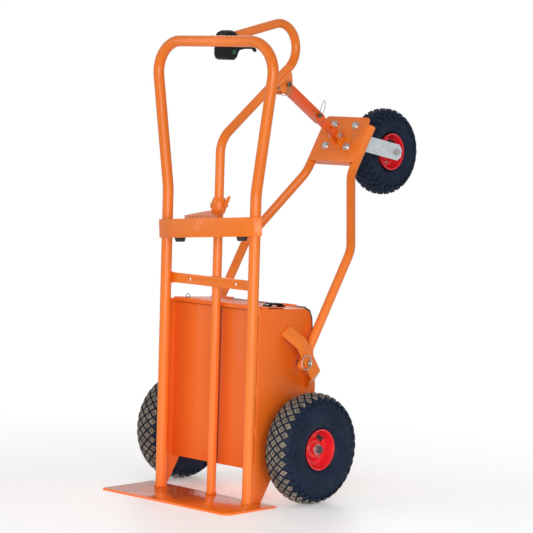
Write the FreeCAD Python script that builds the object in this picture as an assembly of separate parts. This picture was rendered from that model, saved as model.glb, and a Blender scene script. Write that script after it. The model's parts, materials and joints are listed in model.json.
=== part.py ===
"""Convertible hand truck: welded tube frame, drive box, and a third wheel on a folding A-frame.

Millimetres.  +Z is up, +X is the truck's left-to-right width, and -Y is the front, where the
toe plate reaches out.  The origin is on the floor under the middle of the two uprights.
"""
import FreeCAD, Part
import math
import os

from FreeCAD import Vector

os.makedirs("parts", exist_ok=True)

# ---------------------------------------------------------------- driving dimensions
# Toe plate
toe_width = 478.0
toe_front_y = -152.0
toe_back_y = 36.0
toe_thickness = 6.0
toe_right_radius = 22.0
toe_left_radius = 5.0

# Main frame tubes
upright_x = 167.0
upright_diameter = 30.0
tube_wall = 2.5
flare_start_z = 828.0
flare_angle = 9.0
flare_bend_radius = 160.0
top_bar_z = 1227.5
top_corner_radius = 82.0

# Centre tube, which leans back at the top and curls round into the rear grip
spine_y = 30.0
spine_diameter = 25.0
strut_angle = 37.8
strut_bend_z = 966.0
strut_bend_radius = 75.0
grip_slope = 13.6
curl_radius = 67.0
curl_centre_y = 247.0
curl_centre_z = 1217.8

# Crossbar between the uprights
crossbar_z = 583.5
crossbar_height = 27.0
crossbar_thickness = 5.0
crossbar_hole_radius = 5.0
crossbar_hole_x = 87.0

# Drive box
panel_outer_x = 182.0
sheet = 2.0
front_panel_y = 52.0
lid_front_y = 44.0
lid_front_z = 527.5
lid_back_y = 186.0
lid_back_z = 520.0
lid_lip_height = 12.0
box_bottom_z = 85.0
box_back_y = 236.0

# Main wheels
wheel_y = 154.0
wheel_radius = 150.0
wheel_width = 92.0
wheel_x = 249.0
shaft_radius = 10.0

# A-frame: the pivot, and distances measured up its legs from the pivot
pivot_y = 165.8
pivot_z = 374.7
a_frame_tilt = 31.0
leg_diameter = 25.0
leg_low_x = 200.0
leg_high_x = 84.0
leg_low_bend = 347.0
leg_high_bend = 581.0
leg_top = 736.0
pivot_pin_radius = 6.0

# Caster plate on the A-frame, and the caster bolted behind it
plate_low = 612.0
plate_high = 757.0
plate_half_width = 84.0
plate_thickness = 4.0
caster_axis = 694.5
bolt_spacing_x = 80.0
bolt_spacing_z = 70.0
caster_wheel_radius = 125.0
caster_wheel_width = 76.0
caster_wheel_out = 166.0
caster_wheel_up = 752.0

# Telescopic stay between the rear grip and the A-frame
stay_top_y = 269.5
stay_top_z = 1118.0
lug_pin_out = -34.2
lug_pin_up = 686.1
stay_outer_size = 25.0
stay_inner_size = 20.0
stay_wall = 2.0
stay_pin_radius = 4.0
stay_outer_length = 181.0
stay_adjust_at = 157.0

# Height band
band_centre_z = 730.0
band_height = 51.0
band_thickness = 4.0
band_tilt = 4.4
band_face_y = -36.2

running_gap = 0.3
loose_gap = 0.6

X_AXIS = Vector(1, 0, 0)
Y_AXIS = Vector(0, 1, 0)
Z_AXIS = Vector(0, 0, 1)
ORIGIN = Vector(0, 0, 0)


# ---------------------------------------------------------------- helpers
def save(name, shape):
    """Write one sub-part to its own file."""
    shape.exportStep("parts/" + name + ".step")


def group(shapes):
    """Several separate solids kept together in one node."""
    return Part.makeCompound(shapes)


def block(low, high):
    """A box from its lowest corner to its highest corner."""
    size = Vector(*high) - Vector(*low)
    return Part.makeBox(size.x, size.y, size.z, Vector(*low))


def centred_cylinder(centre, axis, radius, length):
    """A cylinder whose middle is at centre."""
    start = Vector(*centre) - axis * (length / 2)
    return Part.makeCylinder(radius, length, start, axis)


def rounded(shape, radius, axis):
    """Round every straight edge that runs along an axis."""
    edges = []
    for edge in shape.Edges:
        direction = edge.Vertexes[-1].Point - edge.Vertexes[0].Point
        if direction.Length > 0 and abs(direction.normalize().dot(axis)) > 0.999:
            edges.append(edge)
    return shape.makeFillet(radius, edges)


def prism(points, depth):
    """Extrude a closed outline of points."""
    outline = Part.makePolygon([Vector(*p) for p in points] + [Vector(*points[0])])
    return Part.Face(outline).extrude(depth)


def bent_path(points, radii):
    """Straight runs through points, joined by tangent arcs of the given radii."""
    corners = [Vector(*p) for p in points]
    edges = []
    last = corners[0]
    for index, radius in enumerate(radii, start=1):
        corner = corners[index]
        to_back = (corners[index - 1] - corner).normalize()
        to_next = (corners[index + 1] - corner).normalize()
        half_angle = to_back.getAngle(to_next) / 2
        trim = radius / math.tan(half_angle)
        middle_way = (to_back + to_next).normalize()
        centre = corner + middle_way * (radius / math.sin(half_angle))
        arc_start = corner + to_back * trim
        arc_middle = centre - middle_way * radius
        arc_end = corner + to_next * trim
        edges.append(Part.LineSegment(last, arc_start).toShape())
        edges.append(Part.Arc(arc_start, arc_middle, arc_end).toShape())
        last = arc_end
    edges.append(Part.LineSegment(last, corners[-1]).toShape())
    return Part.Wire(edges)


def swept_rod(path, radius):
    """A round rod along a path."""
    start = path.Edges[0].Vertexes[0].Point
    direction = path.Edges[0].tangentAt(path.Edges[0].FirstParameter)
    circle = Part.Wire(Part.Circle(start, direction, radius).toShape())
    return path.makePipeShell([circle], True, False)


def bent_tube(points, radii, diameter, wall=tube_wall):
    """A hollow round tube along straight runs and bends."""
    path = bent_path(points, radii)
    outside = swept_rod(path, diameter / 2)
    inside = swept_rod(path, diameter / 2 - wall)
    return outside.cut(inside)


def turned(profile, centre):
    """Revolve an (across, radius) outline about an X axis through centre."""
    points = [Vector(centre[0] + across, centre[1], centre[2] + radius) for across, radius in profile]
    face = Part.Face(Part.makePolygon(points + [points[0]]))
    return face.revolve(Vector(*centre), X_AXIS, 360)


def hex_prism(centre, axis, across_flats, height):
    """A hexagonal bolt head or nut, which starts at centre and grows along axis."""
    corner_radius = across_flats / math.sqrt(3)
    points = []
    for step in range(6):
        angle = math.radians(60 * step)
        points.append(Vector(corner_radius * math.cos(angle), corner_radius * math.sin(angle), 0))
    head = Part.Face(Part.makePolygon(points + [points[0]])).extrude(Vector(0, 0, height))
    head.Placement = FreeCAD.Placement(Vector(*centre), FreeCAD.Rotation(Z_AXIS, axis))
    return head


def mirrored(shape):
    """The same piece on the other side of the truck."""
    return shape.mirror(ORIGIN, X_AXIS)


def on_a_frame(shape):
    """Tilt a piece drawn on an upright A-frame back to its place on the truck."""
    placed = shape.copy()
    placed.rotate(ORIGIN, X_AXIS, -a_frame_tilt)
    placed.translate(Vector(0, pivot_y, pivot_z))
    return placed


def a_frame_point(out, up):
    """Where a point given on the upright A-frame lies on the truck, as (y, z)."""
    tilt = math.radians(a_frame_tilt)
    y = pivot_y + out * math.cos(tilt) + up * math.sin(tilt)
    z = pivot_z - out * math.sin(tilt) + up * math.cos(tilt)
    return y, z


lug_y, lug_z = a_frame_point(lug_pin_out, lug_pin_up)
stay_length = math.hypot(lug_y - stay_top_y, lug_z - stay_top_z)
stay_angle = math.degrees(math.atan2(lug_z - stay_top_z, lug_y - stay_top_y))


def on_stay(shape):
    """Place a piece drawn along +Y from the stay's top pin on the sloping stay."""
    placed = shape.copy()
    placed.rotate(ORIGIN, X_AXIS, stay_angle)
    placed.translate(Vector(0, stay_top_y, stay_top_z))
    return placed


# ---------------------------------------------------------------- welded frame
def make_toe_plate():
    plate = block((-toe_width / 2, toe_front_y, 0), (toe_width / 2, toe_back_y, toe_thickness))
    for side, radius in ((1, toe_right_radius), (-1, toe_left_radius)):
        corner = [edge for edge in plate.Edges
                  if abs(edge.CenterOfMass.y - toe_front_y) < 1
                  and side * edge.CenterOfMass.x > toe_width / 2 - 1
                  and abs(edge.CenterOfMass.z - toe_thickness / 2) < 1]
        plate = plate.makeFillet(radius, corner)
    return plate


def make_right_upright():
    """One cane of the handle: straight up, flared out, and bent over to the middle."""
    rise = top_bar_z - flare_start_z
    corner_x = upright_x + rise * math.tan(math.radians(flare_angle))
    points = [(upright_x, 0, toe_thickness), (upright_x, 0, flare_start_z),
              (corner_x, 0, top_bar_z), (0, 0, top_bar_z)]
    return bent_tube(points, [flare_bend_radius, top_corner_radius], upright_diameter)


def strut_direction():
    angle = math.radians(strut_angle)
    return Vector(0, math.cos(angle), math.sin(angle))


def curl_points():
    """Where the curl leaves the strut, its rearmost point side, and where it meets the grip."""
    centre = Vector(0, curl_centre_y, curl_centre_z)
    low_angle = math.radians(strut_angle - 90)
    high_angle = math.radians(grip_slope + 90)
    middle_angle = (low_angle + high_angle) / 2
    ring = []
    for angle in (low_angle, middle_angle, high_angle):
        ring.append(centre + Vector(0, math.cos(angle), math.sin(angle)) * curl_radius)
    return ring


def make_centre_tube():
    """The middle tube, from the toe plate up and back to the start of the curl."""
    curl_start = curl_points()[0]
    reach = (curl_start.y - spine_y) / strut_direction().y
    bend = curl_start - strut_direction() * reach
    points = [(0, spine_y, toe_thickness), tuple(bend), tuple(curl_start)]
    return bent_tube(points, [strut_bend_radius], spine_diameter)


def grip_end():
    """The grip's front end, on the back of the top bar."""
    top = curl_points()[2]
    end_y = upright_diameter / 2 - 3
    return Vector(0, end_y, top.z - (top.y - end_y) * math.tan(math.radians(grip_slope)))


def make_rear_grip():
    """The curl and the grip bar, which end on the middle of the top bar."""
    low, middle, high = curl_points()
    path = Part.Wire([Part.Arc(low, middle, high).toShape(),
                      Part.LineSegment(high, grip_end()).toShape()])
    outside = swept_rod(path, spine_diameter / 2)
    tube = outside.cut(swept_rod(path, spine_diameter / 2 - tube_wall))
    top_bar = centred_cylinder((0, 0, top_bar_z), X_AXIS, upright_diameter / 2, toe_width)
    return tube.cut(top_bar)


def make_crossbar():
    half = upright_x - 3
    front = spine_y - spine_diameter / 2 - crossbar_thickness
    bar = block((-half, front, crossbar_z - crossbar_height / 2),
                (half, front + crossbar_thickness, crossbar_z + crossbar_height / 2))
    for side in (-1, 1):
        bar = bar.cut(centred_cylinder((side * crossbar_hole_x, front, crossbar_z), Y_AXIS,
                                       crossbar_hole_radius, 40))
        bar = bar.cut(centred_cylinder((side * upright_x, 0, crossbar_z), Z_AXIS,
                                       upright_diameter / 2, 60))
    return bar


# The bracket under the strut that takes the stay's top pin
gusset_inside = stay_outer_size / 2 + 0.7
gusset_thickness = 4.0


def make_stay_bracket():
    """A folded bracket: a web under the strut and a cheek each side of the stay."""
    cheek_outline = [(212, 1106), (216, 1099), (247, 1099), (256, 1092), (266, 1089.5), (277, 1090.5),
                     (284, 1096), (287, 1106), (287, 1128), (284, 1147), (278, 1158)]
    cheek = prism([(gusset_inside, y, z) for y, z in cheek_outline], Vector(gusset_thickness, 0, 0))
    along = strut_direction()
    down = Vector(0, math.sin(math.radians(strut_angle)), -math.cos(math.radians(strut_angle)))
    pin = Vector(0, stay_top_y, stay_top_z)
    on_tube = pin + along * -40 - down * ((pin - curl_points()[0]).dot(down) - spine_diameter / 2)
    web_outline = []
    for shift, depth in ((-22, 0), (20, 0), (20, gusset_thickness), (-18, gusset_thickness)):
        point = on_tube + along * shift + down * depth
        web_outline.append((-gusset_inside, point.y, point.z))
    web = prism(web_outline, Vector(2 * gusset_inside, 0, 0))
    bracket = cheek.fuse(mirrored(cheek)).fuse(web)
    pin_hole = centred_cylinder(tuple(pin), X_AXIS, stay_pin_radius + running_gap, 80)
    spare_hole = centred_cylinder((0, 231, 1108), X_AXIS, 4, 80)
    return bracket.cut(pin_hole).cut(spare_hole).removeSplitter()


# ---------------------------------------------------------------- drive box
def side_panel_outline():
    """The panel's outline: foot on the toe plate, belly, back edge and sloping top."""
    return [(8, toe_thickness), (36, toe_thickness), (86, box_bottom_z), (box_back_y - 4, box_bottom_z),
            (box_back_y, 310), (214, 492), (205, 511), (lid_back_y, 518), (8, 524.5)]


def make_right_side_panel():
    outline = [(panel_outer_x - sheet, y, z) for y, z in side_panel_outline()]
    panel = prism(outline, Vector(sheet, 0, 0))
    upright = centred_cylinder((upright_x, 0, 400), Z_AXIS, upright_diameter / 2, 900)
    shaft_hole = centred_cylinder((panel_outer_x, wheel_y, wheel_radius), X_AXIS, 26, 20)
    pin_hole = centred_cylinder((panel_outer_x, pivot_y, pivot_z), X_AXIS,
                                pivot_pin_radius + running_gap, 20)
    return panel.cut(upright).cut(shaft_hole).cut(pin_hole)


battery_floor_z = 230.0
seam_x = 6.0


def make_front_panel():
    """Two recessed front sheets that meet at a seam, on the shelf under the batteries."""
    half = panel_outer_x - sheet
    panel = block((-half, front_panel_y, box_bottom_z), (half, front_panel_y + sheet, lid_front_z - 14))
    seam = block((-seam_x - 1, front_panel_y - 10, 0), (-seam_x + 1, front_panel_y + sheet, 1000))
    panel = panel.cut(seam)
    shelf = block((-half, front_panel_y + sheet, battery_floor_z - sheet), (half, 152, battery_floor_z))
    return panel.fuse(shelf).removeSplitter()


def make_rear_cover():
    """A bent sheet that closes the back of the box, just inside the side panels' edge."""
    half = panel_outer_x - sheet
    outer = [(box_back_y - 6, box_bottom_z + 2), (box_back_y - 2, 310), (211, 491), (202, 509)]
    inner = [(y - sheet, z) for y, z in reversed(outer)]
    outline = [(-half, y, z) for y, z in outer + inner]
    return prism(outline, Vector(2 * half, 0, 0))


def make_bottom_plate():
    half = panel_outer_x - sheet
    return block((-half, front_panel_y + sheet, box_bottom_z), (half, box_back_y - 9, box_bottom_z + sheet))


def make_lid():
    """The top sheet with its folded front lip."""
    half = panel_outer_x - sheet - 1
    outline = [(lid_front_y, lid_front_z), (lid_back_y, lid_back_z), (lid_back_y, lid_back_z - sheet),
               (lid_front_y + sheet, lid_front_z - sheet),
               (lid_front_y + sheet, lid_front_z - lid_lip_height),
               (lid_front_y, lid_front_z - lid_lip_height)]
    return prism([(-half, y, z) for y, z in outline], Vector(2 * half, 0, 0))


hinge_y = lid_back_y + 5
hinge_z = lid_back_z + 1


def make_lid_hinge_pin():
    return centred_cylinder((0, hinge_y, hinge_z), X_AXIS, 2.5, 2 * (panel_outer_x - sheet))


def make_lid_hinge_knuckles():
    """Rolled knuckles on the lid's back edge, round the hinge pin."""
    knuckles = []
    for side in (-1, 1):
        centre = (side * 120, hinge_y, hinge_z)
        roll = centred_cylinder(centre, X_AXIS, 4.5, 50)
        leaf = block((side * 120 - 25, lid_back_y - 1, lid_back_z), (side * 120 + 25, hinge_y, lid_back_z + 1.5))
        hole = centred_cylinder(centre, X_AXIS, 2.5 + running_gap, 60)
        lid = make_lid()
        knuckles.append(roll.fuse(leaf).cut(hole).cut(lid).removeSplitter())
    return group(knuckles)


def make_lid_handle():
    """A low strap handle on the lid, near its right end."""
    slope = (lid_back_z - lid_front_z) / (lid_back_y - lid_front_y)
    outline = [(70, 0), (80, 0), (85, 5), (119, 5), (124, 0), (134, 0),
               (134, 4), (128, 4.5), (121, 10), (83, 10), (76, 4.5), (70, 4)]
    points = [(135, y, lid_front_z + slope * (y - lid_front_y) + rise) for y, rise in outline]
    return prism(points, Vector(24, 0, 0))


battery_top_z = battery_floor_z + 170


def make_batteries():
    cells = []
    for side in (-1, 1):
        case = block((side * 88 - 75, 60, battery_floor_z), (side * 88 + 75, 150, battery_top_z))
        cells.append(rounded(case, 5, Z_AXIS))
    return group(cells)


def make_controller():
    """The motor controller, which lies across the two batteries."""
    return rounded(block((-70, 66, battery_top_z), (70, 144, battery_top_z + 36)), 4, Z_AXIS)


# ---------------------------------------------------------------- drive and main wheels
def make_gear_motor():
    """Motor can and gearbox in one casing, with the two output sockets."""
    casing = rounded(block((-60, 100, box_bottom_z + sheet), (60, 208, 208)), 14, X_AXIS)
    can = centred_cylinder((-105, 154, 165), X_AXIS, 38, 92)
    bore = centred_cylinder((0, wheel_y, wheel_radius), X_AXIS, shaft_radius + running_gap, 400)
    return casing.fuse(can).cut(bore).removeSplitter()


def make_shaft_bearings():
    bearings = []
    for side in (-1, 1):
        centre = (side * (panel_outer_x - 7), wheel_y, wheel_radius)
        ring = centred_cylinder(centre, X_AXIS, 26, 14)
        hole = centred_cylinder(centre, X_AXIS, shaft_radius + running_gap, 30)
        flange = centred_cylinder((side * (panel_outer_x - 4), wheel_y, wheel_radius), X_AXIS, 34, 4)
        bearings.append(ring.fuse(flange).cut(hole).removeSplitter())
    return group(bearings)


def make_right_shaft():
    start = Vector(12, wheel_y, wheel_radius)
    return Part.makeCylinder(shaft_radius, wheel_x + wheel_hub_half + 12 - start.x, start, X_AXIS)


def tyre_profile(radius, width, bead_radius):
    """A hollow tyre section: rounded crown, full sidewalls and open beads."""
    half = width / 2
    outer = [(-half * 0.52, bead_radius), (-half * 0.86, bead_radius + 12), (-half, radius * 0.72),
             (-half * 0.94, radius * 0.88), (-half * 0.72, radius * 0.965), (0, radius)]
    outer = outer + [(-across, height) for across, height in reversed(outer[:-1])]
    wall = 7.0
    inner = [(half * 0.30, bead_radius), (half * 0.66, bead_radius + 16), (half - wall, radius * 0.74),
             (half * 0.78, radius * 0.86), (0, radius - wall - 3)]
    inner = inner + [(-across, height) for across, height in reversed(inner[:-1])]
    return outer + inner


def rim_profile(half, bead, hub, hub_half_length):
    """A dished rim section: hub sleeve, disc and outer channel."""
    lip = half * 0.60
    sleeve = hub_half_length
    return [(-lip, bead + 2), (-lip - 3, bead + 2), (-lip - 3, bead - 3), (-4, bead - 8), (-4, hub + 6),
            (-sleeve, hub + 6), (-sleeve, hub), (sleeve, hub), (sleeve, hub + 6),
            (4, hub + 6), (4, bead - 8), (lip + 3, bead - 3), (lip + 3, bead + 2), (lip, bead + 2),
            (lip, bead - 0.5), (-lip, bead - 0.5)]


rim_bead_radius = 51.0
wheel_hub_half = 22.0
caster_hub_half = 36.0


def make_right_tyre():
    centre = (wheel_x, wheel_y, wheel_radius)
    return turned(tyre_profile(wheel_radius, wheel_width, rim_bead_radius), centre)


def make_right_rim():
    centre = (wheel_x, wheel_y, wheel_radius)
    return turned(rim_profile(wheel_width / 2, rim_bead_radius, shaft_radius, wheel_hub_half), centre)


def ring_of_bolts(centre, bolt_circle, count, length):
    """Bolts that clamp the two rim halves together."""
    bolts = []
    for step in range(count):
        angle = 2 * math.pi * (step + 0.5) / count
        y = centre[1] + bolt_circle * math.cos(angle)
        z = centre[2] + bolt_circle * math.sin(angle)
        bolts.append(hex_prism((centre[0] + length / 2, y, z), X_AXIS, 10, 5))
        bolts.append(hex_prism((centre[0] - length / 2 - 5, y, z), X_AXIS, 10, 5))
    return group(bolts)


def make_right_rim_bolts():
    return ring_of_bolts((wheel_x, wheel_y, wheel_radius), 31, 4, 8)


def make_right_axle_nut():
    start = (wheel_x + wheel_hub_half, wheel_y, wheel_radius)
    washer = Part.makeCylinder(14, 2, Vector(*start), X_AXIS)
    nut = hex_prism((start[0] + 2, wheel_y, wheel_radius), X_AXIS, 22, 8)
    thread = centred_cylinder(start, X_AXIS, shaft_radius, 60)
    return washer.fuse(nut).cut(thread).removeSplitter()


# ---------------------------------------------------------------- A-frame and its brackets
def make_right_leg():
    """One bent leg of the A-frame, with its pivot hole."""
    points = [(leg_low_x, 0, -20), (leg_low_x, 0, leg_low_bend), (leg_high_x, 0, leg_high_bend),
              (leg_high_x, 0, leg_top)]
    leg = bent_tube(points, [90, 90], leg_diameter)
    hole = centred_cylinder((leg_low_x, 0, 0), X_AXIS, pivot_pin_radius + running_gap, 60)
    return on_a_frame(leg.cut(hole))


def make_right_leg_bracket():
    """A hat-shaped strap over the leg's foot, welded to the side panel."""
    thick = 4.0
    half_width = 20.0
    strap_offset = 5.0
    rise = 37.0
    foot = 8.0
    web_low, web_high = -42.0, 62.0
    side_low, side_high = -72.0, 98.0
    outline = [(0, side_low - foot), (0, side_low), (rise, web_low), (rise, web_high), (0, side_high),
               (0, side_high + foot), (thick, side_high + foot), (rise + thick, web_high + 2),
               (rise + thick, web_low - 2), (thick, side_low - foot)]
    strap = prism([(x, -half_width + strap_offset, z) for x, z in outline], Vector(0, 2 * half_width, 0))
    hole = centred_cylinder((rise, 0, 0), X_AXIS, pivot_pin_radius + running_gap, 20)
    strap = strap.cut(hole)
    strap.rotate(ORIGIN, X_AXIS, 34)
    strap.translate(Vector(panel_outer_x, pivot_y, pivot_z))
    return strap


def make_right_lynch_pin():
    """The pivot pin with its head, and the wire ring that hangs on its outer end."""
    start = panel_outer_x - 8
    web_outside = panel_outer_x + 41
    pin = Part.makeCylinder(pivot_pin_radius, web_outside + 5 - start, Vector(start, pivot_y, pivot_z), X_AXIS)
    head = Part.makeCylinder(8, 3, Vector(web_outside + 1, pivot_y, pivot_z), X_AXIS)
    pin = pin.fuse(head).removeSplitter()
    ring = Part.makeTorus(19, 1.5, Vector(web_outside + 6.5, pivot_y - 17, pivot_z + 4), X_AXIS)
    tie = centred_cylinder((web_outside + 5, pivot_y + 1.6, pivot_z + 3), X_AXIS, 1.6, 6)
    return pin.fuse(ring).fuse(tie).removeSplitter()


plate_front = -leg_diameter / 2 - plate_thickness
plate_back = -leg_diameter / 2


def caster_bolt_places():
    places = []
    for side in (-1, 1):
        for row in (-1, 1):
            places.append((side * bolt_spacing_x / 2, caster_axis + row * bolt_spacing_z / 2))
    return places


def make_caster_plate():
    """The plate across the A-frame's legs, with a lip folded back at its lower edge."""
    plate = block((-plate_half_width, plate_front, plate_low), (plate_half_width, plate_back, plate_high))
    corners = [edge for edge in plate.Edges
               if abs(edge.CenterOfMass.z - plate_high) < 1 and abs(edge.CenterOfMass.x) > plate_half_width - 1]
    plate = plate.makeFillet(14, corners)
    lip_half = leg_high_x - leg_diameter / 2
    plate = plate.fuse(block((-lip_half, plate_back, plate_low), (lip_half, 9, plate_low + plate_thickness)))
    for x, z in caster_bolt_places():
        plate = plate.cut(centred_cylinder((x, plate_front, z), Y_AXIS, 5.5, 40))
    return on_a_frame(plate.removeSplitter())


lug_side_gap = 0.8
lug_ear_thickness = 4.0
lug_ear_radius = 11.0
lug_foot = 23.0


def make_stay_lug():
    """Two ears on the plate's front for the stay's lower pin."""
    ears = []
    for side in (-1, 1):
        near = side * (stay_inner_size / 2 + lug_side_gap)
        low_x = min(near, near + side * lug_ear_thickness)
        outline = [(low_x, lug_pin_out, lug_pin_up - lug_ear_radius), (low_x, plate_front, lug_pin_up - lug_foot),
                   (low_x, plate_front, lug_pin_up + lug_foot), (low_x, lug_pin_out, lug_pin_up + lug_ear_radius)]
        ear = prism(outline, Vector(lug_ear_thickness, 0, 0))
        nose = Part.makeCylinder(lug_ear_radius, lug_ear_thickness, Vector(low_x, lug_pin_out, lug_pin_up), X_AXIS)
        hole = centred_cylinder((0, lug_pin_out, lug_pin_up), X_AXIS, stay_pin_radius, 90)
        ears.append(ear.fuse(nose).cut(hole).removeSplitter())
    return on_a_frame(group(ears))


def make_lug_bolt():
    """The bolt through the lug's ears, with its head and nut."""
    reach = stay_inner_size / 2 + lug_side_gap + lug_ear_thickness
    shank = centred_cylinder((0, lug_pin_out, lug_pin_up), X_AXIS, stay_pin_radius, 2 * reach)
    head = hex_prism((-reach - 7, lug_pin_out, lug_pin_up), X_AXIS, 15, 7)
    nut = hex_prism((reach, lug_pin_out, lug_pin_up), X_AXIS, 15, 7)
    return on_a_frame(shank.fuse(head).fuse(nut).removeSplitter())


def make_caster_bolts():
    bolts = []
    for x, z in caster_bolt_places():
        shank = Part.makeCylinder(5.5, 22, Vector(x, plate_front, z), Y_AXIS)
        head = hex_prism((x, plate_front - 7, z), Y_AXIS, 16, 7)
        nut = hex_prism((x, plate_back + 5, z), Y_AXIS, 16, 7)
        bolts.append(shank.fuse(head).fuse(nut).removeSplitter())
    return on_a_frame(group(bolts))


race_radius = 36.0
race_back = 14.0


def make_caster_top_plate():
    """The caster's own plate and the fixed half of its swivel race."""
    plate = block((-56, plate_back, caster_axis - 50), (56, plate_back + 5, caster_axis + 50))
    plate = rounded(plate, 10, Y_AXIS)
    race = Part.makeCylinder(race_radius, race_back - 1 - plate_back - 5,
                             Vector(0, plate_back + 5, caster_axis), Y_AXIS)
    plate = plate.fuse(race).removeSplitter()
    for x, z in caster_bolt_places():
        plate = plate.cut(centred_cylinder((x, 0, z), Y_AXIS, 5.5, 60))
        plate = plate.cut(Part.makeCylinder(9.5, 30, Vector(x, plate_back + 5, z), Y_AXIS))
    kingpin_hole = centred_cylinder((0, 0, caster_axis), Y_AXIS, 8, 60)
    return on_a_frame(plate.cut(kingpin_hole))


def make_kingpin():
    """The pin that the fork turns on, fixed in the caster's plate."""
    pin = Part.makeCylinder(8, race_back + 7 - plate_back, Vector(0, plate_back, caster_axis), Y_AXIS)
    nut = hex_prism((0, race_back + 5.6, caster_axis), Y_AXIS, 22, 6)
    return on_a_frame(pin.fuse(nut).removeSplitter())


fork_inside = caster_wheel_width / 2 + 8
fork_thickness = 5.0


def make_caster_fork():
    """The swivelling fork: a crown over the race and two flat legs to the wheel's axle."""
    crown_radius = 44.0
    crown = Part.makeCylinder(crown_radius, fork_thickness, Vector(0, race_back, caster_axis), Y_AXIS)
    bridge = block((-fork_inside - fork_thickness, race_back, caster_axis - 24),
                   (fork_inside + fork_thickness, race_back + fork_thickness, caster_axis + 24))
    run = Vector(0, caster_wheel_out - race_back, caster_wheel_up - caster_axis)
    length = run.Length
    half = 23.0
    end = length + 24
    outline = [(fork_inside, 0, -half), (fork_inside, end - 14, -half), (fork_inside, end, -half + 12),
               (fork_inside, end, half - 12), (fork_inside, end - 14, half), (fork_inside, 0, half)]
    leg = prism(outline, Vector(fork_thickness, 0, 0))
    leg.rotate(ORIGIN, X_AXIS, math.degrees(math.atan2(run.z, run.y)))
    leg.translate(Vector(0, race_back, caster_axis))
    behind_crown = block((-80, -200, 0), (80, race_back, 1200))
    leg = leg.cut(behind_crown)
    axle_hole = centred_cylinder((0, caster_wheel_out, caster_wheel_up), X_AXIS, 6, 200)
    kingpin_hole = centred_cylinder((0, race_back, caster_axis), Y_AXIS, 8 + running_gap, 40)
    fork = crown.fuse(bridge).fuse(leg).fuse(mirrored(leg)).cut(axle_hole).cut(kingpin_hole)
    return on_a_frame(fork.removeSplitter())


def make_caster_axle():
    """The bolt through the fork and the caster wheel."""
    reach = fork_inside + fork_thickness
    centre = (0, caster_wheel_out, caster_wheel_up)
    shank = centred_cylinder(centre, X_AXIS, 6, 2 * reach)
    head = hex_prism((reach, caster_wheel_out, caster_wheel_up), X_AXIS, 18, 7)
    nut = hex_prism((-reach - 7, caster_wheel_out, caster_wheel_up), X_AXIS, 18, 7)
    return on_a_frame(shank.fuse(head).fuse(nut).removeSplitter())


def make_caster_tyre():
    centre = (0, caster_wheel_out, caster_wheel_up)
    return on_a_frame(turned(tyre_profile(caster_wheel_radius, caster_wheel_width, rim_bead_radius), centre))


def make_caster_rim():
    centre = (0, caster_wheel_out, caster_wheel_up)
    section = rim_profile(caster_wheel_width / 2, rim_bead_radius, 6 + running_gap, caster_hub_half)
    return on_a_frame(turned(section, centre))


def make_caster_rim_bolts():
    return on_a_frame(ring_of_bolts((0, caster_wheel_out, caster_wheel_up), 31, 4, 8))


# ---------------------------------------------------------------- telescopic stay
def square_tube(size, wall, start, end):
    half = size / 2
    outside = block((-half, start, -half), (half, end, half))
    bore = half - wall
    return outside.cut(block((-bore, start - 10, -bore), (bore, end + 10, bore)))


def make_stay_outer():
    """The outer tube: an open hook slot drops over the top pin, and a cross hole takes the lock pin."""
    half = stay_outer_size / 2
    tube = square_tube(stay_outer_size, stay_wall, 0, stay_outer_length)
    nose = centred_cylinder((0, 0, 0), X_AXIS, half, stay_outer_size)
    nose = nose.cut(block((-half + stay_wall, -half, -half), (half - stay_wall, half, half)))
    slot_half = stay_pin_radius + 1.2
    slot = block((-40, -60, -slot_half), (40, 0, slot_half))
    slot = slot.fuse(centred_cylinder((0, 0, 0), X_AXIS, slot_half, 80))
    lock_hole = centred_cylinder((0, stay_adjust_at, 0), X_AXIS, stay_pin_radius + running_gap, 80)
    return on_stay(tube.fuse(nose).cut(slot).cut(lock_hole).removeSplitter())


lock_slot_length = 21.5


def make_stay_inner():
    """The inner tube, with its row of holes, which pivots on the A-frame's lug."""
    half = stay_inner_size / 2
    start = stay_outer_length - 120
    bore = half - stay_wall
    tube = square_tube(stay_inner_size, stay_wall, start, stay_length)
    nose = centred_cylinder((0, stay_length, 0), X_AXIS, half, stay_inner_size)
    nose = nose.cut(block((-bore, 0, -half), (bore, stay_length + half, half)))
    tube = tube.fuse(nose)
    slot_half = stay_pin_radius + loose_gap
    slot = block((-40, stay_adjust_at - 2, -slot_half), (40, stay_adjust_at + lock_slot_length, slot_half))
    slot = slot.fuse(centred_cylinder((0, stay_adjust_at - 2, 0), X_AXIS, slot_half, 80))
    spare_hole = centred_cylinder((0, stay_length - 38, 0), X_AXIS, 3.2, 80)
    lug_hole = centred_cylinder((0, stay_length, 0), X_AXIS, stay_pin_radius + running_gap, 80)
    return on_stay(tube.cut(slot).cut(spare_hole).cut(lug_hole).removeSplitter())


def quick_pin(reach):
    """A round pin with a head at its right end."""
    pin = centred_cylinder((0, 0, 0), X_AXIS, stay_pin_radius, 2 * reach)
    head = Part.makeCylinder(stay_pin_radius + 2.5, 4, Vector(reach, 0, 0), X_AXIS)
    return pin.fuse(head).removeSplitter()


def make_stay_top_pin():
    pin = quick_pin(gusset_inside + gusset_thickness + 3)
    pin.translate(Vector(0, stay_top_y, stay_top_z))
    return pin


def make_stay_lock_pin():
    pin = quick_pin(stay_outer_size / 2 + 3)
    pin.translate(Vector(0, stay_adjust_at, 0))
    return on_stay(pin)


# ---------------------------------------------------------------- height band
collar_z = 788.0
arm_slope = 24.0
buffer_x = 118.0
buffer_y = 0.0
buffer_stem_radius = 5.0
tab_thickness = 4.0


def on_band(shape):
    """Place a piece drawn about the strap's middle on the slightly tilted band."""
    placed = shape.copy()
    placed.rotate(ORIGIN, Y_AXIS, -band_tilt)
    placed.translate(Vector(0, 0, band_centre_z))
    return placed


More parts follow.
